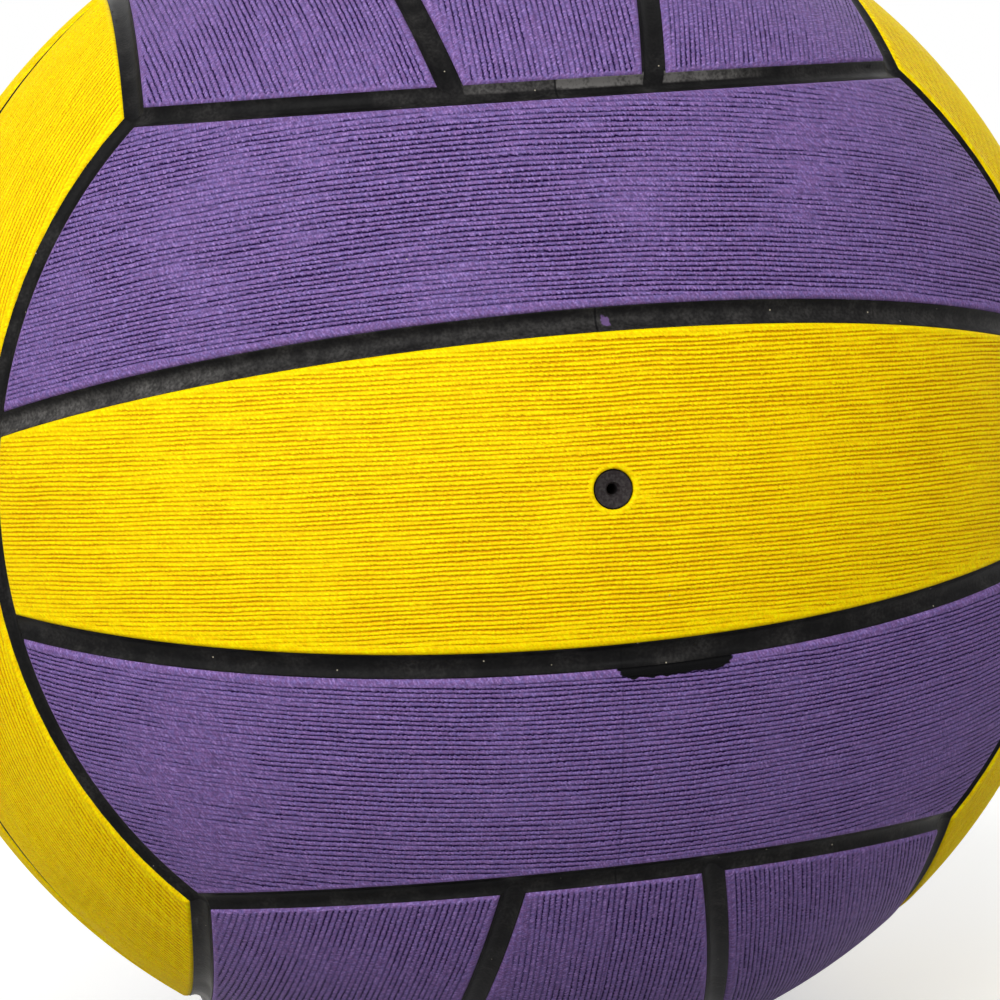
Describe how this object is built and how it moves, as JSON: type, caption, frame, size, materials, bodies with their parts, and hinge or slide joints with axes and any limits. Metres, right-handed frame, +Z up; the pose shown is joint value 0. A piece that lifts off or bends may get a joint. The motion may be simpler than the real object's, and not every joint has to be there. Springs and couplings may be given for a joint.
{
  "type": "water polo ball",
  "caption": "Inflated water polo ball: grooved grip-rubber panels between sunken black channels over a wound carcass, with a needle valve.",
  "frame": {"origin": "centre of the ball", "axes": "-Y through the needle valve, in the middle of the front face; +Z up, across the front strips; +X to the right along the front strips, seen from the front"},
  "size_m": [0.2212, 0.2211, 0.2212],
  "materials": {
    "purple_rubber": "matte",
    "yellow_rubber": "matte",
    "black_rubber": "satin",
    "nylon_thread": "matte",
    "butyl_rubber": "satin",
    "valve_rubber": "matte"
  },
  "bodies": {
    "root": {"front_upper_panel": "purple_rubber", "front_centre_panel": "yellow_rubber", "front_lower_panel": "purple_rubber", "back_upper_panel": "purple_rubber", "back_centre_panel": "yellow_rubber", "back_lower_panel": "purple_rubber", "top_left_panel": "purple_rubber", "top_centre_panel": "purple_rubber", "top_right_panel": "purple_rubber", "bottom_left_panel": "purple_rubber", "bottom_centre_panel": "purple_rubber", "bottom_right_panel": "purple_rubber", "left_front_panel": "yellow_rubber", "left_centre_panel": "yellow_rubber", "left_back_panel": "yellow_rubber", "right_front_panel": "yellow_rubber", "right_centre_panel": "yellow_rubber", "right_back_panel": "yellow_rubber", "carcass": "black_rubber", "winding": "nylon_thread", "bladder": "butyl_rubber", "valve_housing": "valve_rubber", "valve_core": "valve_rubber"}
  },
  "joints": []
}
